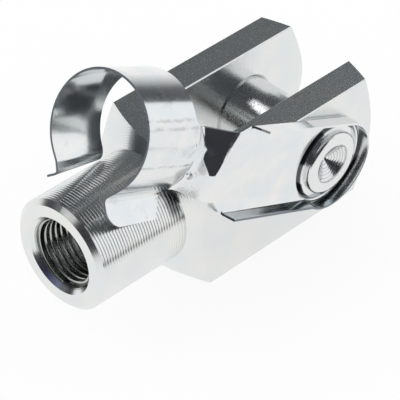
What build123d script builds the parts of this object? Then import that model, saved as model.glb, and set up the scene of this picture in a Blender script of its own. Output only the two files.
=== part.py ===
"""Clevis rod end with its spring clip: a fork milled and turned from square bar,
a riveted pin, and a folded sheet-metal clip that turns with the pin.

Frame: millimetres, +Z up. The origin is on the pin's axis, midway between the ears.
+Y runs along the pin, the threaded neck points along -X, and the fork opens along +X.
The clip is shown swung open, with the lips of its loop lying on top of the neck.
"""

from build123d import *
from math import cos, exp, radians, sin, sqrt, tan, tanh
import os

# ---------------------------------------------------------------- fork sizes
bar_width = 31.5  # square bar that the fork is made from
slot_width = 17.0  # gap between the ears
slot_depth = 32.0  # from the pin's axis to the floor of the slot
tip_reach = 19.4  # from the pin's axis to the ears' ends, at the slot
tip_angle = 29.0  # slope of the turned face on the ears' ends
neck_diameter = 26.0
neck_reach = 65.0  # from the pin's axis to the neck's end face
shoulder_reach = 40.3  # from the pin's axis to where the neck meets the shoulder cone
shoulder_angle = 32.0  # slope of the shoulder cone
end_chamfer_length = 1.0  # chamfer on the neck's end, along the axis
end_chamfer_height = 1.2
edge_break = 0.25  # small chamfer on the long milled edges

# ------------------------------------------------------- threaded bore and pin
thread_diameter = 16.0  # M16: the bore is cut at the thread's outer diameter
thread_mouth_diameter = 18.2  # countersink where the thread starts
thread_mouth_angle = 45.0
pin_diameter = 16.0
pin_running_gap = 0.05  # between the pin and each ear, on the radius
pin_stand_out = 1.6  # how far the pin's plain end stands past the far ear
pin_end_chamfer = 1.0
bore_chamfer = 0.5  # at both faces of each ear

# ---------------------------------------------------------- pin's riveted head
tenon_diameter = 11.0  # the pin's reduced end, which goes through the clip
rivet_diameter = 15.3  # that end as it is spread over the clip
rivet_height = 1.2
rivet_rounding = 0.75
dimple_diameter = 9.7  # cone turned into the pin's end
dimple_angle = 30.0  # slope of that cone's wall

# ---------------------------------------------------------- clip: strip and rim
sheet = 0.5  # thickness of the sheet that the clip is folded from
clip_side_gap = 0.05  # between the strip and the ear that it turns on
swing_from_closed = 26.2  # how far the clip stands open, in degrees
fold_radius = 0.5  # inside radius of the small folds
eye_radius = 10.7  # rounded end of the strip, about the pin
strip_top = 9.5  # strip's upper edge, where the rim ends
strip_bottom = 11.8  # strip's lower edge, where the rim ends
waist_reach = 2.5  # from the pin's axis to the waist beside the eye
rim_height = 3.3  # rim that stands out along the strip's edges
rim_reach = shoulder_reach - 7.3  # from the pin's axis to where the rim runs out
rim_top_slope = 2.2  # how far back the rim's ends lean
rim_bottom_slope = 0.8
boss_height = 0.8  # round boss drawn in the strip, under the rivet
boss_seat_gap = 0.1  # between the pin's shoulder and the boss's wall
boss_wall = 0.7  # thickness of that wall where it is thinnest
boss_flare = 0.8  # how much wider the boss is at its base, on the radius

# ------------------------------------------------------------------ clip: loop
loop_grip = 0.3  # the relaxed loop's inside is this much less than the neck, on the radius
loop_start = shoulder_reach + 4.2  # the loop's edge nearest the pin
loop_end = neck_reach - 4.8  # its edge nearest the end of the neck
loop_shift_y = 0.29  # centre of the relaxed loop, off the neck's axis
loop_shift_up = 0.4
lip_start_angle = 226.0  # where the plain lip leaves the loop, from the clip's side over the top
tab_start_angle = -36.0  # where the thumb tab leaves it

# ------------------------------------------- clip: twisted bend, strip to loop
# Where it starts and ends is given as a distance before the loop, which is changed by a bump:
# (distance, size of the bump, height of its middle, its spread, how flat its top is).
bend_start_line = (6.6, -2.6, 9.5, 5.5, 2)
bend_end_line = (1.1, -2.2, 0.5, 3.5, 2)
bend_end_lean = (0.6, 3.0)  # the end also steps back by this much high up, over this height
bend_start_share = 0.45  # share of the bent run that curves away from the strip
bend_end_share = 0.2  # share of it that curves into the loop
bend_run = 11.5  # length before the loop that the bent sheet takes
bend_sections = 16
bend_step_in = 0.02  # the bent sheet's end is this much thinner than the loop, on each face
bend_points = 12  # spans across each section
bend_top = 10.3  # height of the bent sheet before its edges are cut
bend_bottom_at_strip = -11.5
bend_bottom_at_loop = -9.0
# Edges of the bent sheet, seen from its side: (distance before the loop, height).
upper_edge = ((12.5, 9.98), (8.2, 7.9), (2.2, 6.75), (0, 7.0))
notch_edge = ((12.5, -11.58), (8.3, -8.55), (0, -8.2))
edge_rounding = 2.0

# ------------------------------------------------------- clip: lips of the loop
# Each lip is a run along the loop's tangent, a run down to the fold and a flared run:
# (length, direction in degrees) at the loop's end edge and at its start edge.
plain_lip_end = (2.0, (2.37, 238.0), (2.6, 322.0))
plain_lip_start = (0.6, (0.9, 235.0), (1.6, 318.0))
thumb_tab_end = (0.9, (4.4, -50.4), (6.1, 232.0))
thumb_tab_start = (1.7, (1.3, -49.0), (5.4, 232.0))
lip_run_radius = 3.0  # rounding between a lip's two inner runs
tab_fold_radius = 1.2  # the thumb tab's fold is softer than the other folds
tab_edge_slope = 0.45  # how far the tab's edge nearest the pin leans, per length
tab_corner_radius = 3.5

# -------------------------------------------------------------- derived places
half_bar = bar_width / 2
half_slot = slot_width / 2
neck_radius = neck_diameter / 2
pin_radius = pin_diameter / 2
ear_bore_radius = pin_radius + pin_running_gap
corner_radius = half_bar * sqrt(2) + 1.0  # clears the bar's corners
strip_inner = -(half_bar + clip_side_gap)
strip_outer = strip_inner - sheet
rim_edge = strip_outer - rim_height
loop_inner_radius = neck_radius - loop_grip
loop_outer_radius = loop_inner_radius + sheet
strip_end = loop_start - bend_run  # the strip is flat as far as here
notch_start = strip_end - 1.3  # from the pin's axis to where the lower edge turns up
boss_radius = pin_radius + boss_seat_gap + boss_wall
swing = radians(swing_from_closed)
clip_along = Vector(-cos(swing), 0, sin(swing))  # from the pin towards the loop
clip_up = Vector(sin(swing), 0, cos(swing))


def side_plane(y):
    """Sketch plane of the clip seen from its side: along the clip, and up."""
    return Plane(origin=(0, y, 0), x_dir=clip_along, z_dir=(0, 1, 0))


def cross_plane(along):
    """Sketch plane across the clip: sideways along the pin, and up."""
    return Plane(origin=clip_along * along, x_dir=(0, 1, 0), z_dir=-clip_along)


def plan_plane():
    """Sketch plane of the clip seen from above: along the clip, and sideways."""
    return Plane(origin=(0, 0, 0), x_dir=clip_along, z_dir=-clip_up)


# ------------------------------------------------------------------------ fork
cone_rise = tan(radians(shoulder_angle)) * (corner_radius - neck_radius)
tip_drop = tan(radians(tip_angle)) * (corner_radius - half_slot)

with BuildPart() as fork:
    with BuildSketch(Plane.YZ.offset(-neck_reach)):
        Rectangle(bar_width, bar_width)
        chamfer(vertices(), length=edge_break)
    extrude(amount=neck_reach + tip_reach)

    # Turned outline: neck, shoulder cone and the cone on the ears' ends.
    with BuildSketch(Plane.XZ):
        with BuildLine():
            Polyline(
                (-neck_reach, 0),
                (-neck_reach, neck_radius - end_chamfer_height),
                (-neck_reach + end_chamfer_length, neck_radius),
                (-shoulder_reach, neck_radius),
                (-shoulder_reach + cone_rise, corner_radius),
                (tip_reach - tip_drop, corner_radius),
                (tip_reach, half_slot),
                (tip_reach, 0),
                close=True,
            )
        make_face()
    revolve(axis=Axis.X, mode=Mode.INTERSECT)

    # Slot between the ears, with its long edges broken.
    with BuildSketch(Plane.YZ.offset(-slot_depth)):
        with BuildLine():
            Polyline(
                (0, half_bar + 1),
                (half_slot + edge_break, half_bar + 1),
                (half_slot + edge_break, half_bar),
                (half_slot, half_bar - edge_break),
                (half_slot, 0),
                (0, 0),
                close=True,
            )
        make_face()
        mirror(about=Plane.XZ)
        mirror(about=Plane.YZ)
    extrude(amount=slot_depth + tip_reach + 1, mode=Mode.SUBTRACT)

    # Bore for the pin, chamfered at the four faces that it opens in.
    with BuildSketch(Plane.XY):
        with BuildLine():
            Polyline(
                (0, -half_bar),
                (ear_bore_radius + bore_chamfer, -half_bar),
                (ear_bore_radius, -half_bar + bore_chamfer),
                (ear_bore_radius, -half_slot - bore_chamfer),
                (ear_bore_radius + bore_chamfer, -half_slot),
                (ear_bore_radius + bore_chamfer, half_slot),
                (ear_bore_radius, half_slot + bore_chamfer),
                (ear_bore_radius, half_bar - bore_chamfer),
                (ear_bore_radius + bore_chamfer, half_bar),
                (0, half_bar),
                close=True,
            )
        make_face()
    revolve(axis=Axis.Y, mode=Mode.SUBTRACT)

    # Threaded bore, from the neck's end face into the slot.
    mouth_radius = thread_mouth_diameter / 2
    mouth_depth = (mouth_radius - thread_diameter / 2) / tan(radians(thread_mouth_angle))
    with BuildSketch(Plane.XZ):
        with BuildLine():
            Polyline(
                (-neck_reach, 0),
                (-neck_reach, mouth_radius),
                (-neck_reach + mouth_depth, thread_diameter / 2),
                (-slot_depth + 1, thread_diameter / 2),
                (-slot_depth + 1, 0),
                close=True,
            )
        make_face()
    revolve(axis=Axis.X, mode=Mode.SUBTRACT)

# ------------------------------------------------------------------------- pin
pin_shoulder = strip_inner - boss_height  # seats inside the clip's boss
rivet_seat = strip_outer - boss_height  # the boss's outer face
rivet_end = rivet_seat - rivet_height
pin_end = half_bar + pin_stand_out
dimple_depth = dimple_diameter / 2 * tan(radians(dimple_angle))

with BuildPart() as pin:
    with BuildSketch(Plane.XY):
        with BuildLine():
            Polyline(
                (0, rivet_end + dimple_depth),
                (dimple_diameter / 2, rivet_end),
                (rivet_diameter / 2, rivet_end),
                (rivet_diameter / 2, rivet_seat),
                (tenon_diameter / 2, rivet_seat),
                (tenon_diameter / 2, pin_shoulder),
                (pin_radius, pin_shoulder),
                (pin_radius, pin_end - pin_end_chamfer),
                (pin_radius - pin_end_chamfer, pin_end),
                (0, pin_end),
                close=True,
            )
        make_face()
        rivet_rim = vertices().sort_by_distance((rivet_diameter / 2, rivet_end, 0))[0]
        fillet(rivet_rim, radius=rivet_rounding)
    revolve(axis=Axis.Y)

# ------------------------------------------------------------------------ clip
loop_centre = Vector(loop_shift_y, loop_shift_up)


def on_loop(radius, angle):
    """Point of the loop's section: 0 degrees on the clip's side, 90 over the top."""
    turn = radians(angle)
    return loop_centre + Vector(-radius * cos(turn), radius * sin(turn))


def heading(angle):
    """Unit vector in the loop's section, turned from the sideways direction."""
    return Vector(cos(radians(angle)), sin(radians(angle)))


def shifted_corners(corners, gap):
    """Corners of the line that runs beside a bent line, at a gap to its left."""
    runs = [(b - a).normalized() for a, b in zip(corners, corners[1:])]
    lefts = [Vector(-run.Y, run.X) for run in runs]
    moved = [corners[0] + lefts[0] * gap]
    for corner, before, after in zip(corners[1:], lefts, lefts[1:]):
        moved.append(corner + (before + after) * (gap / (1 + before.dot(after))))
    moved.append(corners[-1] + lefts[-1] * gap)
    return moved


def lip_corners(start_angle, lip, hand):
    """Corners of a lip's outer face, seen along the loop, from the loop to the free edge.

    hand is -1 for the plain lip, where the section runs on with the angle, and 1 for the tab.
    """
    turn = radians(start_angle)
    corners = [on_loop(loop_outer_radius, start_angle)]
    corners.append(corners[0] - Vector(sin(turn), cos(turn)) * (hand * lip[0]))
    for length, angle in lip[1:]:
        corners.append(corners[-1] + heading(angle) * length)
    return corners


def lip_section(start_angle, lip, hand, bend_radius):
    """Section of a lip: its outer face, its inner face one sheet away, and both ends."""
    outer = lip_corners(start_angle, lip, hand)
    inner = shifted_corners(outer, hand * sheet)
    FilletPolyline(*outer, radius=[lip_run_radius, bend_radius])
    FilletPolyline(*inner, radius=[lip_run_radius - sheet, bend_radius + sheet])
    Line(outer[0], inner[0])
    Line(outer[-1], inner[-1])


def bumped(line, up):
    """Place along the clip of one end of the bend, at a height."""
    before_loop, bump, middle, spread, flatness = line
    return loop_start - before_loop + bump * exp(-(((up - middle) / spread) ** flatness))


def loop_face(up):
    """Sideways place of the loop's outer face on the clip's side, and of the thumb tab's first run."""
    tab_start = on_loop(loop_outer_radius, tab_start_angle)
    if up < tab_start.Y:
        return tab_start.X + (up - tab_start.Y) * tan(radians(tab_start_angle))
    return loop_centre.X - sqrt(loop_outer_radius**2 - (up - loop_centre.Y) ** 2)


def bent_face(along, up):
    """Sideways place of the bent sheet's outer face, from the strip's plane to the loop."""
    start = bumped(bend_start_line, up)
    end = bumped(bend_end_line, up) - bend_end_lean[0] * tanh(up / bend_end_lean[1])
    share = min(max((along - start) / (end - start), 0), 1)
    if share < bend_start_share:
        blend = share**2 / bend_start_share
    elif share > 1 - bend_end_share:
        blend = 2 - bend_start_share - bend_end_share - (1 - share) ** 2 / bend_end_share
    else:
        blend = 2 * share - bend_start_share
    blend /= 2 - bend_start_share - bend_end_share
    return strip_outer + (loop_face(up) - strip_outer) * blend


def stretch(along, up):
    """The bent sheet's thickness measured sideways, over its true thickness."""
    small = 0.01
    here = bent_face(along, up)
    slope_along = (bent_face(along + small, up) - here) / small
    slope_up = (bent_face(along, up + small) - here) / small
    return sqrt(1 + slope_along**2 + slope_up**2)


notch_slope = (notch_edge[1][1] - notch_edge[0][1]) / (notch_edge[0][0] - notch_edge[1][0])


def strip_outline(inset, reach):
    """The strip seen from its side, as far as a reach along the clip, with its edges inset."""
    eye = eye_radius - inset
    waist_drop = sqrt(eye**2 - waist_reach**2)
    top_slope = (strip_top - eye_radius) / rim_reach
    bottom_slope = (strip_bottom - inset - waist_drop) / (rim_reach - waist_reach)
    top_corner = (reach, eye + top_slope * reach)
    bottom_corner = (notch_start, -waist_drop - bottom_slope * (notch_start - waist_reach))
    notch_corner = (reach, bottom_corner[1] + notch_slope * (reach - notch_start))
    ThreePointArc((0, eye), (-eye, 0), (waist_reach, -waist_drop))
    Polyline((waist_reach, -waist_drop), bottom_corner, notch_corner, top_corner, (0, eye))


def fold_edges(solid, y):
    """Edges round a block's face at a height y, apart from its straight end towards the loop."""
    edges = solid.edges().filter_by_position(Axis.Y, y - 0.01, y + 0.01)
    return edges.sort_by(lambda edge: (edge @ 0.5).dot(clip_along))[:-1]


# The space inside the strip's rim, with the folds' inner roundings.
with BuildPart() as tray_space:
    with BuildSketch(side_plane(strip_outer)):
        with BuildLine():
            strip_outline(sheet, strip_end + 1)
        make_face()
    extrude(amount=-(rim_height + 1))
    fillet(fold_edges(tray_space.part, strip_outer), radius=fold_radius)

# Bend from the flat strip in to the loop, as one twisted sheet, with its edges cut.
with BuildPart() as bend:
    for section in range(bend_sections + 1):
        share = section / bend_sections
        along = strip_end + bend_run * share
        bottom = bend_bottom_at_strip + (bend_bottom_at_loop - bend_bottom_at_strip) * share
        ups = [bottom + (bend_top - bottom) * point / bend_points for point in range(bend_points + 1)]
        step_in = bend_step_in * (section == bend_sections)
        outer = [(bent_face(along, up) + step_in, up) for up in ups]
        inner = [(bent_face(along, up) + sheet * stretch(along, up) - step_in, up) for up in ups]
        with BuildSketch(cross_plane(along)):
            with BuildLine():
                Spline(*outer)
                Spline(*inner)
                Line(outer[0], inner[0])
                Line(outer[-1], inner[-1])
            make_face()
    loft()
    for edge, far in ((upper_edge, 2 * eye_radius), (notch_edge, -2 * eye_radius)):
        corners = [(loop_start - before_loop, up) for before_loop, up in edge]
        with BuildSketch(side_plane(rim_edge - 1)):
            with BuildLine():
                cut_line = FilletPolyline(*corners, (loop_start, far), radius=edge_rounding)
                Polyline(cut_line @ 1, (corners[0][0], far), cut_line @ 0)
            make_face()
        extrude(amount=bar_width, mode=Mode.SUBTRACT)

with BuildPart() as clip:
    # Strip with its rim, as a shallow tray.
    with BuildSketch(side_plane(strip_inner)):
        with BuildLine():
            strip_outline(0, strip_end)
        make_face()
    extrude(amount=-(sheet + rim_height))
    fillet(fold_edges(clip.part, strip_inner), radius=fold_radius + sheet)
    add(tray_space.part, mode=Mode.SUBTRACT)

    add(bend.part)

    # Plain part of the loop, rolled to one radius.
    with BuildSketch(cross_plane(loop_end)):
        with BuildLine():
            middle_angle = (tab_start_angle + lip_start_angle) / 2
            for radius in (loop_outer_radius, loop_inner_radius):
                ThreePointArc(*(on_loop(radius, a) for a in (tab_start_angle, middle_angle, lip_start_angle)))
            for angle in (tab_start_angle, lip_start_angle):
                Line(on_loop(loop_outer_radius, angle), on_loop(loop_inner_radius, angle))
        make_face()
    extrude(amount=loop_end - loop_start)

    # The two lips, whose folds slant because the mouth is wider towards the pin.
    lips = (
        (lip_start_angle, -1, fold_radius, plain_lip_start, plain_lip_end),
        (tab_start_angle, 1, tab_fold_radius, thumb_tab_start, thumb_tab_end),
    )
    for start_angle, hand, bend_radius, at_start, at_end in lips:
        for along, lip in ((loop_start, at_start), (loop_end, at_end)):
            with BuildSketch(cross_plane(along)):
                with BuildLine():
                    lip_section(start_angle, lip, hand, bend_radius)
                make_face()
        loft(ruled=True)

    # The thumb tab's outer corner is rounded.
    tip_start = lip_corners(tab_start_angle, thumb_tab_start, 1)[-1]
    tip_end = lip_corners(tab_start_angle, thumb_tab_end, 1)[-1]
    tab_heading = heading((thumb_tab_start[-1][1] + thumb_tab_end[-1][1]) / 2)
    edge_drop = (tip_end - tip_start).dot(tab_heading) * tab_corner_radius / (loop_end - loop_start)
    tip_plane = cross_plane(loop_end)
    tip_plane = Plane(
        origin=tip_plane.from_local_coords(tip_end),
        x_dir=clip_along,
        z_dir=tip_plane.x_dir * -tab_heading.Y + tip_plane.y_dir * tab_heading.X,
    )
    with BuildSketch(tip_plane):
        with BuildLine():
            RadiusArc((0, tab_corner_radius), (-tab_corner_radius, edge_drop), tab_corner_radius)
            Polyline(
                (-tab_corner_radius, edge_drop),
                (-tab_corner_radius, -1),
                (1, -1),
                (1, tab_corner_radius),
                (0, tab_corner_radius),
            )
        make_face()
    extrude(amount=2 * sheet, both=True, mode=Mode.SUBTRACT)

    # The tab's edge nearest the pin leans away from the notch.
    tab_top = tip_start.Y + thumb_tab_start[-1][0]
    with BuildSketch(side_plane(strip_outer)):
        with BuildLine():
            Polyline(
                (loop_start - 1, tab_top),
                (loop_start, tab_top),
                (loop_start + tab_edge_slope * 2 * eye_radius, tab_top - 2 * eye_radius),
                (loop_start - 1, tab_top - 2 * eye_radius),
                close=True,
            )
        make_face()
    extrude(amount=bar_width, mode=Mode.SUBTRACT)

    # The rim runs out in a slope at its two ends.
    for reach, slope, hand in ((rim_reach, rim_top_slope, -1), (notch_start, rim_bottom_slope, 1)):
        with BuildSketch(plan_plane()):
            with BuildLine():
                Polyline(
                    (reach, strip_outer),
                    (reach - slope, rim_edge),
                    (reach - slope, rim_edge - 1),
                    (strip_end + 1, rim_edge - 1),
                    (strip_end + 1, strip_outer),
                    close=True,
                )
            make_face()
        extrude(amount=hand * 2 * eye_radius, mode=Mode.SUBTRACT)

    # Round boss that takes the pin's shoulder, with the hole for its tenon.
    with BuildSketch(Plane.XY):
        with BuildLine():
            Polyline(
                (0, strip_inner),
                (boss_radius + boss_flare, strip_inner),
                (boss_radius + boss_flare, strip_outer),
                (boss_radius, rivet_seat),
                (0, rivet_seat),
                close=True,
            )
        make_face()
    revolve(axis=Axis.Y)
    with BuildSketch(Plane.XY):
        with BuildLine():
            Polyline(
                (0, strip_inner),
                (pin_radius + boss_seat_gap, strip_inner),
                (pin_radius + boss_seat_gap, pin_shoulder),
                (tenon_diameter / 2, pin_shoulder),
                (tenon_diameter / 2, rivet_seat),
                (0, rivet_seat),
                close=True,
            )
        make_face()
    revolve(axis=Axis.Y, mode=Mode.SUBTRACT)

os.makedirs("parts", exist_ok=True)
for name, piece in {"fork": fork, "pin": pin, "clip": clip}.items():
    piece.part.label = name
    export_step(piece.part, f"parts/{name}.step")
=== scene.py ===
# %% [markdown]
# # A clevis rod end with its spring clip
#
# The part is a steel fork with a threaded neck, a pin across its two ears, and a clip folded
# from sheet metal that is riveted to the pin. All three are plated with bright zinc.
# The construction comes from the CAD frame at its real size, and nothing here moves or resizes it.
# This script adds what the frame leaves out: the thread inside the neck, the finish of every
# surface, and a small studio of floor, world, lamps and camera.

# %% Load the frame
from math import cos, pi, radians, sin
from types import SimpleNamespace

import bpy
from mathutils import Matrix, Vector


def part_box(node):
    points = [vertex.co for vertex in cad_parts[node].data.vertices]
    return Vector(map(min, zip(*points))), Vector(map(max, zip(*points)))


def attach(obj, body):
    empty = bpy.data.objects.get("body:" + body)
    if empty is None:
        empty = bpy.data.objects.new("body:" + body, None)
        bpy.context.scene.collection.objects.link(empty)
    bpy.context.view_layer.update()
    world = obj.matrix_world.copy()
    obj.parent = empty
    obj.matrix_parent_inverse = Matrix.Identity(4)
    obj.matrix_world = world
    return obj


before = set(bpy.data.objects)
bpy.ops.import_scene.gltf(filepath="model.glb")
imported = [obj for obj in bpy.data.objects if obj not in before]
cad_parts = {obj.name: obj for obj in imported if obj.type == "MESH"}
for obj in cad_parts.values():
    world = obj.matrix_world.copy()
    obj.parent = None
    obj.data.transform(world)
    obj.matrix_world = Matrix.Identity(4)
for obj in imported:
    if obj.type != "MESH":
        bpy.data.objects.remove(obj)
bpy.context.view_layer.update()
MM = 0.001  # Blender works in metres, and the sizes below are written in millimetres

# %% [markdown]
# ## The camera
#
# A camera could be aimed with a Track To constraint, but a constraint leaves no room for a
# slight roll. Here its three axes are worked out from a heading, a height, a roll and a point
# to look at, and go straight into its matrix. The long lens stands well back, so the far ear
# looks almost as large as the near one.

# %% Camera
CAMERA_HEADING = radians(-47.954)  # from the pin's side of the fork round towards the neck
CAMERA_HEIGHT = radians(39.934)
CAMERA_ROLL = radians(3.468)
CAMERA_DISTANCE = 529.054 * MM
CAMERA_AIM = Vector((-22.307, 0, -9.004)) * MM
FOCAL_LENGTH = 216.1  # on the default 36 mm sensor


def camera_matrix(heading, height, roll, distance, aim):
    """Place and turn a camera that looks at a point, with a roll about its line of sight."""
    back = Vector((sin(heading) * cos(height), -cos(heading) * cos(height), sin(height)))
    right = Vector((0, 0, 1)).cross(back).normalized()
    up = back.cross(right)
    rolled_right = right * cos(roll) + up * sin(roll)
    rolled_up = up * cos(roll) - right * sin(roll)
    turn = Matrix((rolled_right, rolled_up, back)).transposed().to_4x4()
    return Matrix.Translation(aim + back * distance) @ turn


camera = bpy.data.objects.new("camera", bpy.data.cameras.new("camera"))
camera.data.lens = FOCAL_LENGTH
camera.data.clip_start = 10 * MM
camera.matrix_world = camera_matrix(
    CAMERA_HEADING, CAMERA_HEIGHT, CAMERA_ROLL, CAMERA_DISTANCE, CAMERA_AIM
)
bpy.context.scene.collection.objects.link(camera)
bpy.context.scene.camera = camera
print("camera at", [round(value, 3) for value in camera.location])

# %% [markdown]
# ## Short words for shader nodes
#
# A node material is a small program. Writing out every node and link hides what it says, so
# these helpers add a node, set its inputs and hand back its first output. An input may be a
# plain value or the output of another node.


# %% Node helpers
def add_node(tree, kind, settings=(), **inputs):
    """Adds a node to a tree, sets it up and fills its inputs by name or by number."""
    node = tree.nodes.new(kind)
    for name, value in dict(settings).items():
        setattr(node, name, value)
    for name, value in inputs.items():
        socket = node.inputs[int(name[1:]) if name[0] == "i" and name[1:].isdigit() else name]
        if isinstance(value, bpy.types.NodeSocket):
            tree.links.new(value, socket)
        else:
            socket.default_value = value
    return node


def calc(tree, operation, *values):
    """One sum on numbers: its arguments are values or sockets."""
    inputs = {f"i{number}": value for number, value in enumerate(values)}
    return add_node(tree, "ShaderNodeMath", {"operation": operation}, **inputs).outputs[0]


def vector_calc(tree, operation, **inputs):
    """The node for one sum on vectors."""
    return add_node(tree, "ShaderNodeVectorMath", {"operation": operation}, **inputs)


def coordinates(tree, place):
    """The three numbers of a place or a direction."""
    return add_node(tree, "ShaderNodeSeparateXYZ", Vector=place).outputs[:3]


def length_2d(tree, a, b):
    """How far a point is from an axis."""
    squares = calc(tree, "ADD", calc(tree, "MULTIPLY", a, a), calc(tree, "MULTIPLY", b, b))
    return calc(tree, "SQRT", squares)


# %% [markdown]
# ## Masks
#
# Most of a finish is a question of where: a share is 1 on the faces that get it, 0 elsewhere,
# and slides between the two over a soft edge. An image could be painted for that, but sums on
# the point's place need no image and stay sharp at any distance. An edge is written as a pair,
# the value where the share is 0 and the value where it is 1, and it may run either way.


# %% Mask helpers
def between(tree, value, none, full):
    """Goes smoothly from 0 where the value is at none to 1 where it is at full."""
    settings = {"interpolation_type": "SMOOTHSTEP"}
    return add_node(tree, "ShaderNodeMapRange", settings, i0=value, i1=none, i2=full).outputs[0]


def all_of(tree, share, *others):
    """1 where every share is 1, and 0 where one of them is 0."""
    for other in others:
        share = calc(tree, "MULTIPLY", share, other)
    return share


def any_of(tree, share, *others):
    """1 where one of the shares is 1."""
    for other in others:
        share = calc(tree, "MAXIMUM", share, other)
    return share


def rest_of(tree, share):
    """1 where a share is 0, and 0 where it is 1."""
    return calc(tree, "SUBTRACT", 1.0, share)


def faded(tree, share, least):
    """A share that never drops below its least value."""
    return calc(tree, "MULTIPLY_ADD", share, 1 - least, least)


def mixed_colour(tree, share, below, above):
    """Blend of two colours, each a value or a socket."""
    mix = add_node(tree, "ShaderNodeMix", {"data_type": "RGBA"}, i0=share)
    for socket, colour in ((mix.inputs[6], below), (mix.inputs[7], above)):
        if isinstance(colour, bpy.types.NodeSocket):
            tree.links.new(colour, socket)
        else:
            socket.default_value = (*colour, 1)
    return mix.outputs[2]


# %% [markdown]
# ## What plated steel looks like up close
#
# Zinc plating is never one flat tone. It drifts between two close colours, it has dull specks,
# and the tool's marks show through it. Each helper here makes one of those, at a size in
# millimetres. A material for every face would need the CAD's meshes to be cut up, and these stay
# whole, so each piece gets one material, and masks inside it do the rest. They read Object
# coordinates, which stay with a piece when it swings.

# %% Plated steel
DRIFT_EDGE = (0.35, 0.65)
SPECK_SIZE = 0.33
PEEL_SIZE = 0.30
PEEL_DEPTH = 0.005


def new_metal(name):
    """A metal material, with its tree, its shader and the place of a point in millimetres."""
    material = bpy.data.materials.new(name)
    material.use_nodes = True
    tree = material.node_tree
    shader = tree.nodes["Principled BSDF"]
    shader.inputs["Metallic"].default_value = 1.0
    metres = add_node(tree, "ShaderNodeTexCoord").outputs["Object"]
    place = vector_calc(tree, "SCALE", i0=metres, Scale=1 / MM).outputs[0]
    return material, tree, shader, place


def noise(tree, place, size, detail=2.0, roughness=0.5):
    """Soft random pattern from 0 to 1, whose lumps are about size across."""
    inputs = {"Vector": place, "Scale": 1 / size, "Detail": detail, "Roughness": roughness}
    return add_node(tree, "ShaderNodeTexNoise", **inputs).outputs[0]


def stretched(tree, place, x, y, z):
    """The same place on axes pulled out by a factor each, so that a pattern gets long."""
    return vector_calc(tree, "MULTIPLY", i0=place, i1=(1 / x, 1 / y, 1 / z)).outputs[0]


def grooves(tree, value, pitch):
    """Scalloped height, 0 to 1, that a round-nosed tool leaves at each step of its feed."""
    across = calc(tree, "PINGPONG", value, pitch / 2)
    share = calc(tree, "DIVIDE", across, pitch / 2)
    return calc(tree, "MULTIPLY", share, share)


def drifting_colour(tree, place, size, cold, warm):
    """Plating that drifts between a cold and a warm tone."""
    ramp = add_node(tree, "ShaderNodeValToRGB", Fac=noise(tree, place, size, 3))
    for element, position, colour in zip(ramp.color_ramp.elements, DRIFT_EDGE, (cold, warm)):
        element.position = position
        element.color = (*colour, 1)
    return ramp.outputs[0]


def specks(tree, place, none, full):
    """Dull specks. The lower their edge in the noise, the more of the surface they cover."""
    return between(tree, noise(tree, place, SPECK_SIZE, 2), none, full)


def peel(tree, place):
    """Height of the fine orange peel that plating has, in millimetres."""
    return calc(tree, "MULTIPLY", noise(tree, place, PEEL_SIZE, 2), PEEL_DEPTH)


def bump(tree, shader, height, normal=None):
    """Bends the light by a height in millimetres, on the surface or on a normal of its own."""
    node = add_node(tree, "ShaderNodeBump", Height=height, Distance=MM)
    if normal is not None:
        tree.links.new(normal, node.inputs["Normal"])
    tree.links.new(node.outputs[0], shader.inputs["Normal"])


def give_finish(node_name, material):
    """Gives a CAD piece its one material."""
    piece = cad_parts[node_name]
    piece.data.materials.clear()
    piece.data.materials.append(material)
    print(node_name, "is finished in", material.name, "of", len(material.node_tree.nodes), "nodes")
    return material


# %% [markdown]
# ## The fork's faces
#
# The fork is cut from square bar. Its neck, its shoulder and its mouth are turned on a lathe, the
# slot is milled, and the bar's own flats are left as they were drawn. The mesh has no seams to
# paint by, but the part is simple, so a point's place says which tool made its face.

# %% Fork's faces
fork_low, fork_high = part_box("fork")
NECK_END = round(fork_low.x / MM, 2)
BAR_FLAT = round(fork_high.z / MM, 2)  # from the fork's axis to the bar's flats
SLOT_FACE = 8.5  # from the middle plane to an ear's inner face
SLOT_FLOOR = -32.0
SHOULDER = -41.0  # where the square bar starts
MOUTH_RADIUS = 9.1  # of the countersink at the neck's end
SKIN = 0.04  # a point this close to a face is on it
print("the fork's neck ends at", NECK_END, "mm, and its flats are at", BAR_FLAT, "mm")


def fork_point(tree, place):
    """Where a point of the fork lies, and which tool made its face."""
    x, y, z = coordinates(tree, place)
    sideways = calc(tree, "ABSOLUTE", y)
    height = calc(tree, "ABSOLUTE", z)
    below_flats = calc(tree, "LESS_THAN", calc(tree, "MAXIMUM", sideways, height), BAR_FLAT - SKIN)
    between_ears = calc(tree, "LESS_THAN", sideways, SLOT_FACE + SKIN)
    milled = all_of(tree, between_ears, calc(tree, "GREATER_THAN", x, SLOT_FLOOR - SKIN))
    return SimpleNamespace(
        place=place,
        x=x,
        y=y,
        z=z,
        radius=length_2d(tree, y, z),
        milled=milled,
        turned=all_of(tree, below_flats, rest_of(tree, milled)),
        drawn=rest_of(tree, below_flats),
        drawn_top=calc(tree, "GREATER_THAN", height, BAR_FLAT - SKIN),
    )


# %% [markdown]
# ## Tool marks
#
# The lathe's feed leaves a rib about every three quarters of a millimetre, deep on the neck and
# shallow on the shoulder. The cutter leaves marks across the slot, and the drawn flats keep a
# dull grain. Ribs like these could be modelled as rings, but they are a twentieth of a millimetre
# deep, and only the light shows them. So three heights, each masked to its own faces, add up to
# one bump.

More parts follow.
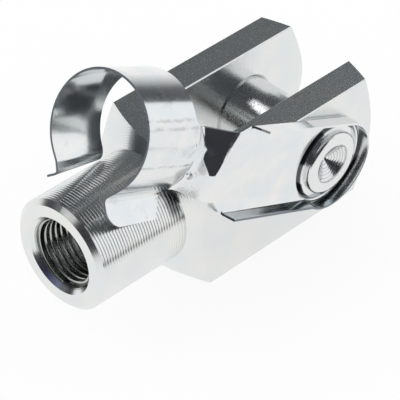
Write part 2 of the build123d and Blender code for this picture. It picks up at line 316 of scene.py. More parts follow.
# %% Tool marks on the fork
TURNING_FEED = 0.74
TURNING_DEPTH = 0.048
TURNED_SLOPE = 0.9  # the tool goes on outwards round the shoulder
RIB_WANDER = 0.06  # how far a rib strays from its place
RIB_WANDER_SIZE = 9.0
RIB_PATCH_SIZE = 8.0  # the ribs are deep in one patch and shallow in the next
RIB_LEAST = 0.45
RIB_RANGE = 0.8
SHOULDER_RIBS = 0.25  # depth of the ribs on the shoulder, as a share of the neck's
RIBS_START = (NECK_END + 1.1, NECK_END + 1.3)
RIBS_DEEPEN = (SHOULDER + 0.3, SHOULDER - 0.3)
FACING_FEED = 0.35
FACING_DEPTH = 0.002
MILLED_SIZE = 1.0
MILLED_STRETCH = (0.5, 1, 14)
MILLED_DEPTH = 0.020
GRAIN_SIZE = 0.24
GRAIN_DEPTH = 0.014
GRAIN_ELSEWHERE = 0.1


def turned_height(tree, point):
    """Ribs that the lathe's feed leaves along the neck, and fine rings on its end faces."""
    tool_path = calc(tree, "MULTIPLY_ADD", point.radius, TURNED_SLOPE, point.x)
    wander = noise(tree, point.place, RIB_WANDER_SIZE, 1)
    tool_path = calc(tree, "MULTIPLY_ADD", wander, RIB_WANDER, tool_path)
    ribs = calc(tree, "MULTIPLY", grooves(tree, tool_path, TURNING_FEED), TURNING_DEPTH)
    past_mouth = between(tree, point.x, *RIBS_START)
    uneven = noise(tree, point.place, RIB_PATCH_SIZE, 1)
    uneven = calc(tree, "MULTIPLY_ADD", uneven, RIB_RANGE, RIB_LEAST)
    on_neck = between(tree, point.x, *RIBS_DEEPEN)
    ribs = all_of(tree, ribs, past_mouth, uneven, faded(tree, on_neck, SHOULDER_RIBS))
    rings = calc(tree, "MULTIPLY", grooves(tree, point.radius, FACING_FEED), FACING_DEPTH)
    return all_of(tree, point.turned, calc(tree, "ADD", ribs, rings))


def fork_height(tree, point):
    """Height of all the tools' marks on the fork, in millimetres."""
    streaks = noise(tree, stretched(tree, point.place, *MILLED_STRETCH), MILLED_SIZE, 3)
    grain = noise(tree, point.place, GRAIN_SIZE, 3)
    grain = all_of(tree, grain, faded(tree, point.drawn, GRAIN_ELSEWHERE))
    height = turned_height(tree, point)
    height = calc(tree, "MULTIPLY_ADD", all_of(tree, streaks, point.milled), MILLED_DEPTH, height)
    return calc(tree, "MULTIPLY_ADD", grain, GRAIN_DEPTH, height)


# %% [markdown]
# ## The fork's colour and gloss
#
# The bore's colour is darkened as painted shade, a blue tint is mixed into one side of the
# countersink, and a dark painted reflection of the clip's underside lies in the corner where the
# clip closes over the neck. They could be painted on an image, but each is a plain patch, so a
# colour mixed in by its own mask is enough. The flats are duller than what is cut, and speckled
# on top and below.

# %% Fork's material
DRIFT_SIZE = 9.0
COLD_STEEL = (0.76, 0.79, 0.80)
WARM_STEEL = (0.82, 0.82, 0.80)
# painted shade: the bore's colour is darkened to stand in for the shade inside it
BORE_SHADE = (0.48, 0.50, 0.48)
BORE_SHADE_RADIUS = 8.3  # a little more than the bore's
# a blue tint mixed into the colour on one side of the countersink
BLUE_TINT = (0.48, 0.50, 0.78)
BLUE_TINT_CONE = (NECK_END + 1.0, NECK_END + 0.9)
BLUE_TINT_BELOW = (-3.5, -7.5)
BLUE_TINT_NEAR_SIDE = (-1.5, 1.5)
BLUE_TINT_FAR_SIDE = (7.0, 4.5)
# painted reflection: the neck is darkened where it would mirror the clip's dark underside
NECK_REFLECTION_COLOUR = (0.115, 0.125, 0.13)
NECK_REFLECTION_SHARE = 0.85
NECK_REFLECTION_START = (-44.8, -42.8)
NECK_REFLECTION_END = (-40.7, -41.0)
NECK_REFLECTION_HEIGHT = (4.4, 6.8)
NECK_REFLECTION_SIDE = (-6.0, -8.0)
CUT_ROUGHNESS = 0.20
DRAWN_ROUGHER = 0.05
FORK_SPECKS = (0.56, 0.70)
FORK_SPECKS_ROUGHER = 0.30


def fork_colour(tree, point):
    """Zinc with painted shade in the bore, a blue tint on the countersink and a painted reflection
    on the neck.
    """
    x, y, z = point.x, point.y, point.z
    colour = drifting_colour(tree, point.place, DRIFT_SIZE, COLD_STEEL, WARM_STEEL)
    # painted shade inside the bore of the neck
    in_bore = calc(tree, "LESS_THAN", point.radius, BORE_SHADE_RADIUS)
    in_bore = all_of(tree, in_bore, calc(tree, "LESS_THAN", x, SLOT_FLOOR))
    colour = mixed_colour(tree, in_bore, colour, BORE_SHADE)
    blue_tinted = all_of(
        tree,
        calc(tree, "LESS_THAN", point.radius, MOUTH_RADIUS),
        between(tree, x, *BLUE_TINT_CONE),
        between(tree, z, *BLUE_TINT_BELOW),
        between(tree, y, *BLUE_TINT_NEAR_SIDE),
        between(tree, y, *BLUE_TINT_FAR_SIDE),
    )
    colour = mixed_colour(tree, blue_tinted, colour, BLUE_TINT)
    # painted reflection of the clip's dark underside on the neck, beside the shoulder
    painted_reflection = all_of(
        tree,
        between(tree, x, *NECK_REFLECTION_START),
        between(tree, x, *NECK_REFLECTION_END),
        between(tree, z, *NECK_REFLECTION_HEIGHT),
        between(tree, y, *NECK_REFLECTION_SIDE),
        NECK_REFLECTION_SHARE,
    )
    return mixed_colour(tree, painted_reflection, colour, NECK_REFLECTION_COLOUR)


def fork_material():
    """Zinc-plated steel with turned, milled and dull bar faces."""
    material, tree, shader, place = new_metal("turned_zinc_steel")
    point = fork_point(tree, place)
    bump(tree, shader, fork_height(tree, point))
    tree.links.new(fork_colour(tree, point), shader.inputs["Base Color"])
    dull = all_of(tree, specks(tree, place, *FORK_SPECKS), point.drawn_top)
    roughness = calc(tree, "MULTIPLY_ADD", point.drawn, DRAWN_ROUGHER, CUT_ROUGHNESS)
    roughness = calc(tree, "MULTIPLY_ADD", dull, FORK_SPECKS_ROUGHER, roughness)
    tree.links.new(roughness, shader.inputs["Roughness"])
    return material


turned_steel = give_finish("fork", fork_material())


# %% [markdown]
# ## The pin
#
# The pin is turned with a fine feed, and its head has a cone drilled into it. The drill chatters,
# which leaves rings in the cone. They are too fine to model, and bump alone leaves them too light,
# so painted shade darkens their grooves in the colour as well. The cone also mirrors a little
# more steeply than it is: a height that grows with the radius does that.

# %% Pin's material
ZINC = (0.80, 0.81, 0.81)
PIN_FEED = 0.30
PIN_FEED_DEPTH = 0.004
DIMPLE_RADIUS = 4.85
DIMPLE_EDGE = (DIMPLE_RADIUS, DIMPLE_RADIUS - 0.3)
DIMPLE_FEED = 0.62
DIMPLE_WANDER = 0.5
DIMPLE_WANDER_SIZE = 1.2
DIMPLE_LEAN = 0.12  # the rings are pulled to one side
DIMPLE_STEEPER = 0.16
RING_DEPTH = 0.022
# painted shade: the grooves of the drilled rings are darkened in the colour
RING_SHADE_COLOUR = (0.30, 0.32, 0.34)
RING_SHADE_SHARE = 0.6
PIN_ROUGHNESS = 0.16
PIN_SPECKS = (0.50, 0.66)
SPECKS_ROUGHER = 0.14


def pin_material():
    """Fine-turned and plated steel, with rings in the cone at its end."""
    material, tree, shader, place = new_metal("turned_pin")
    x, y, z = coordinates(tree, place)
    radius = length_2d(tree, x, z)
    in_dimple = between(tree, radius, *DIMPLE_EDGE)
    leaning = calc(tree, "MULTIPLY_ADD", x, DIMPLE_LEAN, radius)
    wander = noise(tree, place, DIMPLE_WANDER_SIZE, 2)
    ragged = calc(tree, "MULTIPLY_ADD", wander, DIMPLE_WANDER, leaning)
    rings = all_of(tree, grooves(tree, ragged, DIMPLE_FEED), in_dimple)
    # painted shade in the rings' grooves
    colour = mixed_colour(tree, calc(tree, "MULTIPLY", rings, RING_SHADE_SHARE), ZINC, RING_SHADE_COLOUR)
    tree.links.new(colour, shader.inputs["Base Color"])
    feed = grooves(tree, calc(tree, "ADD", y, radius), PIN_FEED)
    height = calc(tree, "MULTIPLY_ADD", feed, PIN_FEED_DEPTH, peel(tree, place))
    height = calc(tree, "MULTIPLY_ADD", rings, RING_DEPTH, height)
    steeper = calc(tree, "MULTIPLY", radius, DIMPLE_STEEPER)
    bump(tree, shader, calc(tree, "MULTIPLY_ADD", in_dimple, steeper, height))
    dull = specks(tree, place, *PIN_SPECKS)
    roughness = calc(tree, "MULTIPLY_ADD", dull, SPECKS_ROUGHER, PIN_ROUGHNESS)
    tree.links.new(roughness, shader.inputs["Roughness"])
    return material


give_finish("pin", pin_material())


# %% [markdown]
# ## Places on the clip
#
# The clip is one strip of sheet. It starts round the pin with a pressed rim, runs along the ear
# and ends as an open loop that snaps round the neck. It is swung up at rest, so its places are
# counted along and up the strip, from the pin's centre. The sheet also needs its normal, because
# an outer side, an inner side and a sheared edge lie within a millimetre of each other.

# %% Clip's places
STRIP_TURN = radians(26.2)  # how far the strip is swung up at rest
LOOP_START = 43.0


def along_and_up(tree, x, z):
    """A place or a direction, told along the strip and up across it."""
    level = calc(tree, "MULTIPLY", x, -cos(STRIP_TURN))
    upright = calc(tree, "MULTIPLY", z, cos(STRIP_TURN))
    along = calc(tree, "MULTIPLY_ADD", z, sin(STRIP_TURN), level)
    up = calc(tree, "MULTIPLY_ADD", x, sin(STRIP_TURN), upright)
    return along, up


def clip_point(tree, place):
    """Where a point of the clip lies, and which way its surface faces."""
    x, y, z = coordinates(tree, place)
    along, up = along_and_up(tree, x, z)
    normal = add_node(tree, "ShaderNodeTexCoord").outputs["Normal"]
    facing_x, facing_y, facing_z = coordinates(tree, normal)
    return SimpleNamespace(
        place=place,
        y=y,
        along=along,
        up=up,
        from_pin=length_2d(tree, x, z),
        normal=normal,
        outwards=calc(tree, "MULTIPLY", facing_y, -1.0),
        endways=calc(tree, "ABSOLUTE", along_and_up(tree, facing_x, facing_z)[0]),
    )


# %% [markdown]
# ## Sheared edges
#
# Shears tear the steel, so the cut edges stay dull and dark under the zinc: the edge of the
# turned-out rim round the pin, and the loop's two ends. Faces could be picked by hand for that,
# but the CAD's mesh may change its faces. A mask on place and normal finds the same edges again.

# %% Clip's sheared edges
RIM_TOP = (-17.2, -17.4)  # across the strip: the rim stands out from it
RIM_AWAY = (9.8, 10.0)  # away from the pin's centre
RIM_FACING = (0.55, 0.75)
RIM_BELOW = (6.0, 2.0)
LOOP_END = (LOOP_START, LOOP_START + 0.5)
LOOP_END_FACING = (0.6, 0.8)


def sheared_edges(tree, point):
    """The rim's edge round the pin, and the loop's two ends."""
    rim = all_of(
        tree,
        between(tree, point.y, *RIM_TOP),
        between(tree, point.from_pin, *RIM_AWAY),
        between(tree, point.outwards, *RIM_FACING),
        between(tree, point.up, *RIM_BELOW),
    )
    on_loop = between(tree, point.along, *LOOP_END)
    loop_ends = all_of(tree, on_loop, between(tree, point.endways, *LOOP_END_FACING))
    return any_of(tree, rim, loop_ends)


# %% [markdown]
# ## Painted shade in the corners
#
# The sharp corner at the foot of the raised seat round the pin's head is darkened by painted
# shade, as a dark ring. The rim's inner wall, below the strip, gets painted shade the same way,
# which fades along it. Both are a millimetre or two wide, so a colour says enough.

# %% Clip's painted corner shade
CORNER_INNER = (8.85, 9.1)  # away from the pin's centre
CORNER_OUTER = (9.8, 9.6)
CORNER_FLOOR = (-16.2, -16.29)
RIM_WALL = (-16.6, -16.9)
RIM_WALL_FACING = (0.6, 0.3)
RIM_WALL_BELOW = (-6.0, -7.0)
RIM_WALL_FADES = (28.0, 14.0)  # along the strip
RIM_WALL_SHADE_SHARE = 0.6


def pressed_corner(tree, point):
    """The narrow ring of painted shade at the foot of the raised seat round the pin's head."""
    return all_of(
        tree,
        between(tree, point.from_pin, *CORNER_INNER),
        between(tree, point.from_pin, *CORNER_OUTER),
        between(tree, point.y, *CORNER_FLOOR),
    )


def rim_wall(tree, point):
    """Where painted shade darkens the inner wall of the turned-out rim, below the strip."""
    return all_of(
        tree,
        between(tree, point.y, *RIM_WALL),
        between(tree, point.outwards, *RIM_WALL_FACING),
        between(tree, point.up, *RIM_WALL_BELOW),
        between(tree, point.along, *RIM_WALL_FADES),
        RIM_WALL_SHADE_SHARE,
    )


# %% [markdown]
# ## The clip's colour
#
# Bright sheet shows every finger that closed the clip, so there are faint smudges, most of them
# on the loop. They could be drawn one by one, but a noise stretched along the piece gives their
# shape without a plan. The dark sheared edges, and the painted shade in the creases, on the rim's
# inner wall and in the corner, go over them, because a later mix covers an earlier one.

# %% Clip's colour
SHEET_DRIFT_SIZE = 6.0
COLD_SHEET = (0.75, 0.79, 0.81)
WARM_SHEET = (0.83, 0.825, 0.81)
SMUDGE_SIZE = 5.0
SMUDGE_STRETCH = (1.6, 1, 1)
SMUDGE_EDGE = (0.56, 0.78)
SMUDGE_LOOP = (40.0, LOOP_START + 2.0)
SMUDGE_ELSEWHERE = 0.15
SMUDGE_SHARE = 0.55
SMUDGE_COLOUR = (0.42, 0.49, 0.53)
SHEARED_COLOUR = (0.20, 0.225, 0.25)
# painted shade on the rim's inner wall
RIM_WALL_SHADE_COLOUR = (0.22, 0.28, 0.31)
# painted shade in the corner at the foot of the pin's raised seat
CORNER_SHADE_COLOUR = (0.09, 0.10, 0.10)


def clip_colour(tree, point, sheared_edges_and_crease_shade):
    """Drifting zinc with smudges, dark sheared edges, and painted shade in the creases, on the
    rim's inner wall and in the pressed corner.
    """
    colour = drifting_colour(tree, point.place, SHEET_DRIFT_SIZE, COLD_SHEET, WARM_SHEET)
    smudge_place = stretched(tree, point.place, *SMUDGE_STRETCH)
    smudges = noise(tree, smudge_place, SMUDGE_SIZE, detail=4, roughness=0.65)
    smudges = all_of(
        tree,
        between(tree, smudges, *SMUDGE_EDGE),
        faded(tree, between(tree, point.along, *SMUDGE_LOOP), SMUDGE_ELSEWHERE),
        SMUDGE_SHARE,
    )
    colour = mixed_colour(tree, smudges, colour, SMUDGE_COLOUR)
    # sheared edges take their own dull colour here, and the creases take painted shade in the same
    # colour
    colour = mixed_colour(tree, sheared_edges_and_crease_shade, colour, SHEARED_COLOUR)
    # painted shade on the rim's inner wall, fading along the strip
    colour = mixed_colour(tree, rim_wall(tree, point), colour, RIM_WALL_SHADE_COLOUR)
    # painted shade in the corner ring
    return mixed_colour(tree, pressed_corner(tree, point), colour, CORNER_SHADE_COLOUR)


# %% [markdown]
# ## Where the sheet is not quite flat
#
# A pressed strip springs back a little, so its surface leans where the drawing says that it is
# flat or sharply bent. Bright metal shows a lean of one degree. A modelled lean would move the
# CAD's faces, which are not to be changed, so the normal is mixed towards a leaning one instead.
# Colours can't be negative but normals can, so the mix is a vector one.

# %% Clip's leaning normals
EASED_NORMAL = (-0.12, -0.98, 0.12)
EASED_SLANT = -0.32  # the bend into the loop runs slanted across the strip
EASED_BEND = (40.2, 41.0)
EASED_BELOW = (-2.0, -3.0)
EASED_START = (37.9, 38.3)
EASED_END = (LOOP_START + 1.0, LOOP_START)
EASED_FACING = (0.3, 0.5)
RUN_OUT_TOP = (-17.8, -18.1)
RUN_OUT_STEEP = (0.4, 0.5)
RUN_OUT_SHALLOW = (0.7, 0.62)
FILLET_NORMAL = (0.15, -0.94, 0.31)
FILLET_BELOW = (-7.4, -8.4)
FILLET_FACING = (0.9, 0.97)
FILLET_AWAY = (9.9, 10.4)
FILLET_FLOOR = (-16.6, -16.4)


def leaning_normal(tree, point):
    """The sheet's normal, leaned by the bend into the loop and by the fillet at the rim's foot."""
    slanted = calc(tree, "MULTIPLY_ADD", point.up, EASED_SLANT, point.along)
    bend = any_of(
        tree, between(tree, slanted, *EASED_BEND), between(tree, point.up, *EASED_BELOW)
    )
    bend = all_of(
        tree,
        bend,
        between(tree, point.outwards, *EASED_FACING),
        between(tree, point.along, *EASED_START),
        between(tree, point.along, *EASED_END),
    )
    run_out = all_of(
        tree,
        between(tree, point.y, *RUN_OUT_TOP),
        between(tree, point.outwards, *RUN_OUT_STEEP),
        between(tree, point.outwards, *RUN_OUT_SHALLOW),
    )
    fillet = all_of(
        tree,
        between(tree, point.up, *FILLET_BELOW),
        between(tree, point.outwards, *FILLET_FACING),
        between(tree, point.from_pin, *FILLET_AWAY),
        between(tree, point.y, *FILLET_FLOOR),
    )
    normal = point.normal
    for share, leaning in ((any_of(tree, bend, run_out), EASED_NORMAL), (fillet, FILLET_NORMAL)):
        inputs = {"i0": share, "i4": normal, "i5": leaning}
        normal = add_node(tree, "ShaderNodeMix", {"data_type": "VECTOR"}, **inputs).outputs[1]
    to_world = {"vector_type": "NORMAL", "convert_from": "OBJECT", "convert_to": "WORLD"}
    return add_node(tree, "ShaderNodeVectorTransform", to_world, Vector=normal).outputs[0]


# %% [markdown]
# ## Creases in the loop
#
# The press rolls the loop in steps, and each step leaves a faint crease along it. They could be
# cut into a mesh, but they are shallower than a hair is thick, so they are bump, with a little
# painted shade that darkens them. A noise shifts each crease's line and leaves gaps in it, as no
# crease is ruled.

# %% Clip's creases
CREASES = (8.1, 6.6, -1.3)  # up from the strip's middle line
CREASE_WIDTH = 0.55
CREASE_WANDER = 0.8
CREASE_WANDER_SIZE = 1.5
CREASE_GAP_SIZE = 2.5
CREASE_GAPS = (0.35, 0.6)
CREASE_LOOP = (LOOP_START, LOOP_START + 2.0)
CREASE_SIDE = (-8.0, -8.5)


def all_creases(tree, point):
    """Share of the creases that the press left along the loop, broken up by a noise."""
    on_loop = all_of(
        tree,
        between(tree, point.along, *CREASE_LOOP),
        between(tree, point.y, *CREASE_SIDE),
        between(tree, noise(tree, point.place, CREASE_GAP_SIZE, 3), *CREASE_GAPS),
    )
    wander = noise(tree, point.place, CREASE_WANDER_SIZE, 3)
    ragged = calc(tree, "MULTIPLY_ADD", wander, CREASE_WANDER, point.up)
    creases = 0.0
    for crease_up in CREASES:
        across = calc(tree, "SUBTRACT", ragged, crease_up + CREASE_WANDER / 2)
        across = calc(tree, "ABSOLUTE", across)
        crease = all_of(tree, between(tree, across, CREASE_WIDTH, 0.0), on_loop)
        creases = calc(tree, "ADD", crease, creases)
    return creases


# %% [markdown]
# ## The clip's material
#
# The sheet is smoother than the fork. What shows is the wave of the rolling mill and the peel of
# the plating over it, and one raised dot where the strip starts to bend. A subdivided mesh could
# carry them as real shapes, but the CAD's mesh stays as it is. So their heights are added up and
# set on the leaning normal, and the bump and the lean work together.

# %% Clip's material
ROLLING_WAVE_SIZE = 7.0
ROLLING_WAVE_DEPTH = 0.03
CREASE_DEPTH = 0.04
# painted shade: how much the creases darken the colour
CREASE_SHADE = 0.35
DOT_CENTRE = (-40.3, -12.6, 15.4)
DOT_EDGE = (1.0, 0.35)
DOT_HEIGHT = 0.2
SHEET_ROUGHNESS = 0.12
SHEARED_ROUGHER = 0.2
SHEET_SPECKS = (0.60, 0.72)


def clip_height(tree, point, creases):
    """Height of the sheet's waves and peel, its creases and its dot, in millimetres."""
    wave = noise(tree, point.place, ROLLING_WAVE_SIZE, 1)
    height = calc(tree, "MULTIPLY_ADD", wave, ROLLING_WAVE_DEPTH, peel(tree, point.place))
    height = calc(tree, "MULTIPLY_ADD", creases, -CREASE_DEPTH, height)
    distance = vector_calc(tree, "DISTANCE", i0=point.place, i1=DOT_CENTRE).outputs["Value"]
    return calc(tree, "MULTIPLY_ADD", between(tree, distance, *DOT_EDGE), DOT_HEIGHT, height)


def clip_material():
    """Bright zinc-plated sheet with darker sheared edges."""
    material, tree, shader, place = new_metal("bright_sheet")
    point = clip_point(tree, place)
    sheared = sheared_edges(tree, point)
    creases = all_creases(tree, point)
    bump(tree, shader, clip_height(tree, point, creases), leaning_normal(tree, point))
    # the sheared edges' own dull colour, together with painted shade in the creases
    sheared_edges_and_crease_shade = any_of(tree, sheared, calc(tree, "MULTIPLY", creases, CREASE_SHADE))
    tree.links.new(clip_colour(tree, point, sheared_edges_and_crease_shade), shader.inputs["Base Color"])
    dull = specks(tree, place, *SHEET_SPECKS)
    roughness = calc(tree, "MULTIPLY_ADD", dull, SPECKS_ROUGHER, SHEET_ROUGHNESS)
    roughness = calc(tree, "MULTIPLY_ADD", sheared, SHEARED_ROUGHER, roughness)
    tree.links.new(roughness, shader.inputs["Roughness"])
    return material


give_finish("clip", clip_material())


# %% [markdown]
# ## The thread
#
# The neck is bored for an M16 x 1.5 thread, right-handed. One ring after another would look
# alike from afar, but a real thread is a single ridge on a helix. Geometry Nodes make it in four
# steps: a spiral, a trapezoid swept along it, a turn to lay it along the neck, and a last step
# that cuts its ends back, to the countersink's cone at the mouth and to the slot's floor. The
# sizes are inputs, so another thread is a matter of other numbers.

# %% Swept ridge
STEPS_PER_TURN = 72


def swept_ridge(tree, sizes):
    """A trapezoid swept along a spiral, laid along the neck from its start."""
    turns = calc(tree, "DIVIDE", sizes["Length"], sizes["Pitch"])
    twice_middle = calc(tree, "ADD", sizes["Root radius"], sizes["Crest radius"])
    middle = calc(tree, "MULTIPLY", twice_middle, 0.5)
    tall = calc(tree, "SUBTRACT", sizes["Root radius"], sizes["Crest radius"])
    spiral = tree.nodes.new("GeometryNodeCurveSpiral")
    spiral.inputs["Resolution"].default_value = STEPS_PER_TURN
    spiral.inputs["Reverse"].default_value = True  # makes the thread right-handed
    tree.links.new(turns, spiral.inputs["Rotations"])
    tree.links.new(sizes["Length"], spiral.inputs["Height"])
    tree.links.new(middle, spiral.inputs["Start Radius"])
    tree.links.new(middle, spiral.inputs["End Radius"])
    upright = add_node(tree, "GeometryNodeSetCurveNormal", Curve=spiral.outputs[0])
    upright.mode = "Z_UP"
    section = tree.nodes.new("GeometryNodeCurvePrimitiveQuadrilateral")
    section.mode = "TRAPEZOID"
    section.inputs["Offset"].default_value = 0
    tree.links.new(tall, section.inputs["Height"])
    tree.links.new(sizes["Foot width"], section.inputs["Bottom Width"])
    tree.links.new(sizes["Top width"], section.inputs["Top Width"])
    standing = add_node(tree, "GeometryNodeTransform", Geometry=section.outputs[0])
    standing.inputs["Rotation"].default_value = (0, 0, -pi / 2)
    ridge = tree.nodes.new("GeometryNodeCurveToMesh")
    ridge.inputs["Fill Caps"].default_value = True
    tree.links.new(upright.outputs[0], ridge.inputs["Curve"])
    tree.links.new(standing.outputs[0], ridge.inputs["Profile Curve"])
    laid = add_node(tree, "GeometryNodeTransform", Geometry=ridge.outputs[0])
    laid.inputs["Rotation"].default_value = (0, pi / 2, 0)
    start = add_node(tree, "ShaderNodeCombineXYZ", X=sizes["Start"]).outputs[0]
    tree.links.new(start, laid.inputs["Translation"])
    return laid.outputs[0]


# %% [markdown]
# ## Cutting the ridge back
#
# A Boolean could cut the ends of the ridge, but it is slow on a helix and leaves slivers. It is
# enough to push the points: those outside the countersink's cone go straight out to just behind
# it, and those past the slot's floor go back to just under it, where the steel hides them.


# %% Cut ridge
def cut_back(tree, geometry, sizes):
    """Pushes points out of the mouth's cone, and back from the slot."""
    x, y, z = coordinates(tree, tree.nodes.new("GeometryNodeInputPosition").outputs[0])
    radius = length_2d(tree, y, z)
    cone = calc(tree, "SUBTRACT", sizes["Cone end"], x)
    outwards = calc(tree, "DIVIDE", calc(tree, "MAXIMUM", radius, cone), radius)
    cut_place = add_node(
        tree,
        "ShaderNodeCombineXYZ",
        X=calc(tree, "MINIMUM", x, sizes["Stop"]),
        Y=calc(tree, "MULTIPLY", y, outwards),
        Z=calc(tree, "MULTIPLY", z, outwards),
    ).outputs[0]
    moved = {"Geometry": geometry, "Position": cut_place}
    return add_node(tree, "GeometryNodeSetPosition", **moved).outputs[0]


# %% [markdown]
# ## The whole tree, and running it
#
# The tree's sizes are named inputs on its interface. The modifier that runs it is given each
# value by the socket's own identifier, because names may repeat. Its result is taken as a plain
# mesh and the modifier goes, so that what is handed on is ordinary geometry.


# %% Thread ridge
def thread_tree(material):
    """Node tree that makes a helical ridge, with its sizes as inputs."""
    tree = bpy.data.node_groups.new("thread_ridge", "GeometryNodeTree")
    tree.interface.new_socket("Geometry", in_out="OUTPUT", socket_type="NodeSocketGeometry")
    names = ("Pitch", "Length", "Root radius", "Crest radius", "Foot width", "Top width")
    for name in (*names, "Start", "Stop", "Cone end"):
        tree.interface.new_socket(name, in_out="INPUT", socket_type="NodeSocketFloat")
    sizes = tree.nodes.new("NodeGroupInput").outputs
    ridge = cut_back(tree, swept_ridge(tree, sizes), sizes)
    ridge = add_node(tree, "GeometryNodeRealizeInstances", Geometry=ridge).outputs[0]
    ridge = add_node(tree, "GeometryNodeSetMaterial", Geometry=ridge, Material=material).outputs[0]
    tree.links.new(ridge, tree.nodes.new("NodeGroupOutput").inputs[0])
    return tree


def made_by(tree, name, values):
    """Runs a node tree on an empty mesh and returns the result as a plain object."""
    base = bpy.data.objects.new(name, bpy.data.meshes.new(name))
    bpy.context.scene.collection.objects.link(base)
    modifier = base.modifiers.new("nodes", "NODES")
    modifier.node_group = tree
    for socket in tree.interface.items_tree:
        if socket.in_out == "INPUT":
            modifier[socket.identifier] = values[socket.name]
    evaluated = base.evaluated_get(bpy.context.evaluated_depsgraph_get())
    mesh = bpy.data.meshes.new_from_object(evaluated)
    base.modifiers.remove(modifier)
    base.data = mesh
    return base


THREAD_PITCH = 1.5
THREAD_ROOT = 8.05  # just inside the wall of the bore
THREAD_CREST = 7.19
RIDGE_FOOT = 1.30
RIDGE_TOP = 0.24
THREAD_START = NECK_END + 1.4
THREAD_STOP = SLOT_FLOOR - 0.1
HIDDEN = 0.05  # how far what is cut back goes below the surface that cuts it

thread = made_by(
    thread_tree(turned_steel),
    "thread_ridge",
    {
        "Pitch": THREAD_PITCH * MM,
        "Length": (THREAD_STOP - THREAD_START) * MM,
        "Root radius": THREAD_ROOT * MM,
        "Crest radius": THREAD_CREST * MM,
        "Foot width": RIDGE_FOOT * MM,
        "Top width": RIDGE_TOP * MM,
        "Start": THREAD_START * MM,
        "Stop": THREAD_STOP * MM,
        "Cone end": (NECK_END + MOUTH_RADIUS + HIDDEN) * MM,
    },
)
print("thread:", len(thread.data.polygons), "faces", thread.dimensions)

# %% [markdown]
# ## The room in the metal
#
# Bright metal has hardly any colour of its own: what one sees is the room. So the room is the
# real work. It could be an image, but a few upright panels in the world are enough, and each
# can be moved by one number: a wide bright window, a dark wall beside it and a dark post, a
# second dark wall opposite, and a small white card. A heading is counted in degrees from the
# fork's tips, and grows towards the side away from the clip.


# %% Parts of the room
def towards(tree, direction, heading, half_width, soft=4.0):
    """1 for directions within some degrees of a heading, 0 well outside."""
    flat = vector_calc(tree, "MULTIPLY", i0=direction, i1=(1, 1, 0)).outputs[0]
    unit = vector_calc(tree, "NORMALIZE", i0=flat).outputs[0]
    aim = (cos(radians(heading)), sin(radians(heading)), 0)
    facing = vector_calc(tree, "DOT_PRODUCT", i0=unit, i1=aim).outputs["Value"]
    outside = cos(radians(half_width + soft))
    return between(tree, facing, outside, cos(radians(half_width - soft)))


WALL_COLOUR = (0.036, 0.038, 0.044)

# %% [markdown]
# ## The floor
#
# The floor is a sheet of white paper on a table. It takes the part's soft shadow, and it glows
# a little for the camera and for mirrored rays, so that it looks white without more light on
# the part. The table ends a hand's width away on the clip's side, so rays that bounce off the
# metal see the dark wall beyond that edge, as they would in a workshop.

# %% Floor
FLOOR_HALF_SIZE = 3.0
TABLE_SIDES = ((0.14, -120, 30), (0.09, -84, 10))  # distance in metres, heading and half width
TABLE_EDGE = 0.02
PAPER_COLOUR = (0.86, 0.86, 0.86)
GLOW_STRENGTH = 1.1
GLOW_SHARE = 0.8


def past_table(tree, place, distance, heading, half_width):
    """1 for places beyond one side of the table, as far as that side goes."""
    x, y = coordinates(tree, place)[:2]
    from_part = length_2d(tree, x, y)
    far = between(tree, from_part, distance - TABLE_EDGE, distance + TABLE_EDGE)
    return all_of(tree, far, towards(tree, place, heading, half_width))


def mixed_shader(tree, share, below, above):
    """Blend of two shader nodes."""
    mix = add_node(tree, "ShaderNodeMixShader", Fac=share)
    tree.links.new(below.outputs[0], mix.inputs[1])
    tree.links.new(above.outputs[0], mix.inputs[2])
    return mix


def floor_material():
    """White paper that glows a little, and a dark room beyond the table for mirrored rays."""
    material = bpy.data.materials.new("floor")
    material.use_nodes = True
    tree = material.node_tree
    tree.nodes.clear()
    place = add_node(tree, "ShaderNodeTexCoord").outputs["Object"]
    rays = tree.nodes.new("ShaderNodeLightPath").outputs
    off_table = any_of(tree, *(past_table(tree, place, *side) for side in TABLE_SIDES))
    off_table = all_of(tree, off_table, rays["Is Glossy Ray"])
    seen = (rays["Is Camera Ray"], rays["Is Glossy Ray"], rays["Is Transmission Ray"])
    glowing = calc(tree, "MULTIPLY", any_of(tree, *seen), GLOW_SHARE)
    paper = add_node(tree, "ShaderNodeBsdfDiffuse", Color=(*PAPER_COLOUR, 1))
    glow = add_node(tree, "ShaderNodeEmission", Color=(1, 1, 1, 1), Strength=GLOW_STRENGTH)
    beyond = add_node(tree, "ShaderNodeEmission", Color=(*WALL_COLOUR, 1), Strength=1.0)
    surface = mixed_shader(tree, off_table, mixed_shader(tree, glowing, paper, glow), beyond)
    tree.links.new(surface.outputs[0], tree.nodes.new("ShaderNodeOutputMaterial").inputs[0])
    return material


half = FLOOR_HALF_SIZE
corners = [(-half, -half, fork_low.z), (half, -half, fork_low.z)]
corners += [(half, half, fork_low.z), (-half, half, fork_low.z)]
floor_mesh = bpy.data.meshes.new("floor")
floor_mesh.from_pydata(corners, [], [(0, 1, 2, 3)])
floor_mesh.materials.append(floor_material())
floor = bpy.data.objects.new("floor", floor_mesh)
bpy.context.scene.collection.objects.link(floor)
print("floor at", round(fork_low.z / MM, 2), "mm")

# %% [markdown]
# ## The world
#
# The sky is white at the horizon, where the paper would curve up, and darkens overhead. Only
# mirrored rays see it and the panels. Plain rays get an even pale light, so the shadow stays
# soft, and the camera sees pure white. A panel's foot and head are soft edges, given as the sine
# of the angle above the horizon.

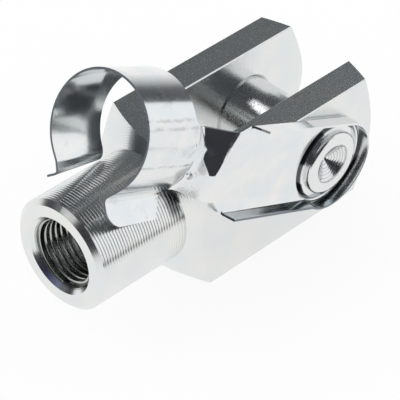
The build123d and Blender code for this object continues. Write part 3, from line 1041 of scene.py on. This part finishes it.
# %% World
SKY_STOPS = (
    (0.0, (0.86, 0.87, 0.87)),
    (0.07, (0.75, 0.77, 0.77)),
    (0.12, (0.48, 0.50, 0.51)),
    (0.18, (0.33, 0.35, 0.36)),
    (0.25, (0.20, 0.215, 0.225)),
    (0.50, (0.125, 0.138, 0.144)),
    (0.68, (0.085, 0.092, 0.097)),
    (1.0, (0.055, 0.060, 0.064)),
)
# For each panel: heading, half width and softness in degrees, then the edges at its foot and head
PANELS = {
    "wall": (-133, 60, 4, None, (0.58, 0.52)),
    "post": (3, 9, 8, (0.11, 0.16), None),
    "back wall": (122, 20, 4, (0.05, 0.10), (0.36, 0.30)),
    "window": (-38, 30, 1.5, None, (0.68, 0.60)),
    "card": (158, 12, 4, (0.38, 0.42), (0.53, 0.49)),
}
WINDOW_COLOUR = (1.02, 1.03, 1.04)
POST_SHADE = 0.72
PLAIN_STRENGTH = 0.6


def panel(tree, direction, heading, half_width, soft, foot, head):
    """1 for directions that meet an upright panel of the room, 0 for the others."""
    up = coordinates(tree, direction)[2]
    share = towards(tree, direction, heading, half_width, soft)
    for edge in (foot, head):
        if edge:
            share = all_of(tree, share, between(tree, up, *edge))
    return share


def sky_colour(tree, direction):
    """Colour that goes from the horizon to overhead through the sky's stops."""
    sky = add_node(tree, "ShaderNodeValToRGB", Fac=coordinates(tree, direction)[2])
    while len(sky.color_ramp.elements) < len(SKY_STOPS):
        sky.color_ramp.elements.new(0.5)
    for element, (position, colour) in zip(sky.color_ramp.elements, SKY_STOPS):
        element.position = position
        element.color = (*colour, 1)
    return sky.outputs[0]


def room_colour(tree, direction):
    """The sky with its dark walls, its window and its card."""
    seen = {name: panel(tree, direction, *sizes) for name, sizes in PANELS.items()}
    dark = any_of(tree, seen["wall"], calc(tree, "MULTIPLY", seen["post"], POST_SHADE))
    room = mixed_colour(tree, dark, sky_colour(tree, direction), WALL_COLOUR)
    room = mixed_colour(tree, seen["back wall"], room, WALL_COLOUR)
    white = any_of(tree, seen["window"], seen["card"])
    return mixed_colour(tree, white, room, WINDOW_COLOUR)


world = bpy.data.worlds.new("studio")
bpy.context.scene.world = world
world.use_nodes = True
tree = world.node_tree
tree.nodes.clear()
rays = tree.nodes.new("ShaderNodeLightPath").outputs
mirrored = any_of(tree, rays["Is Glossy Ray"], rays["Is Transmission Ray"])
direction = add_node(tree, "ShaderNodeTexCoord").outputs["Generated"]
room = add_node(tree, "ShaderNodeBackground", Color=room_colour(tree, direction), Strength=1.0)
plain_strength = faded(tree, rays["Is Camera Ray"], PLAIN_STRENGTH)
plain = add_node(tree, "ShaderNodeBackground", Color=(1, 1, 1, 1), Strength=plain_strength)
lit = mixed_shader(tree, mirrored, plain, room)
tree.links.new(lit.outputs[0], tree.nodes.new("ShaderNodeOutputWorld").inputs[0])
print("world:", len(tree.nodes), "nodes")

# %% [markdown]
# ## Lamps
#
# Two soft boxes put the long streaks on the round faces, which an even sky can't. Area lamps do
# this better than point lamps, as metal mirrors the lamp's own shape. The wide one stands
# opposite the clip, and the other is a narrow strip near the fork's tips.


# %% Lamps
def soft_box(name, heading, height, distance, width, tall, strength):
    """Area lamp in a direction from the part, facing it. Angles in degrees, sizes in metres."""
    turn = radians(heading)
    rise = radians(height)
    away = Vector((cos(turn) * cos(rise), sin(turn) * cos(rise), sin(rise)))
    lamp = bpy.data.lights.new(name, "AREA")
    lamp.shape = "RECTANGLE"
    lamp.size = width
    lamp.size_y = tall
    lamp.energy = strength * width * tall * pi
    box = bpy.data.objects.new(name, lamp)
    facing_part = away.to_track_quat("Z", "Y").to_matrix().to_4x4()
    box.matrix_world = Matrix.Translation(away * distance) @ facing_part
    bpy.context.scene.collection.objects.link(box)
    print(name, "gives", round(lamp.energy, 2), "watts")
    return box


soft_box("back_box", heading=112, height=50, distance=1.0, width=0.45, tall=0.35, strength=1.6)
soft_box("strip_box", heading=30, height=54, distance=1.0, width=0.06, tall=0.5, strength=1.0)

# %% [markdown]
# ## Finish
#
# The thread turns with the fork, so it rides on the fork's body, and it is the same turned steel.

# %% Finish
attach(thread, "fork_body")
bpy.context.scene.view_settings.view_transform = "Standard"
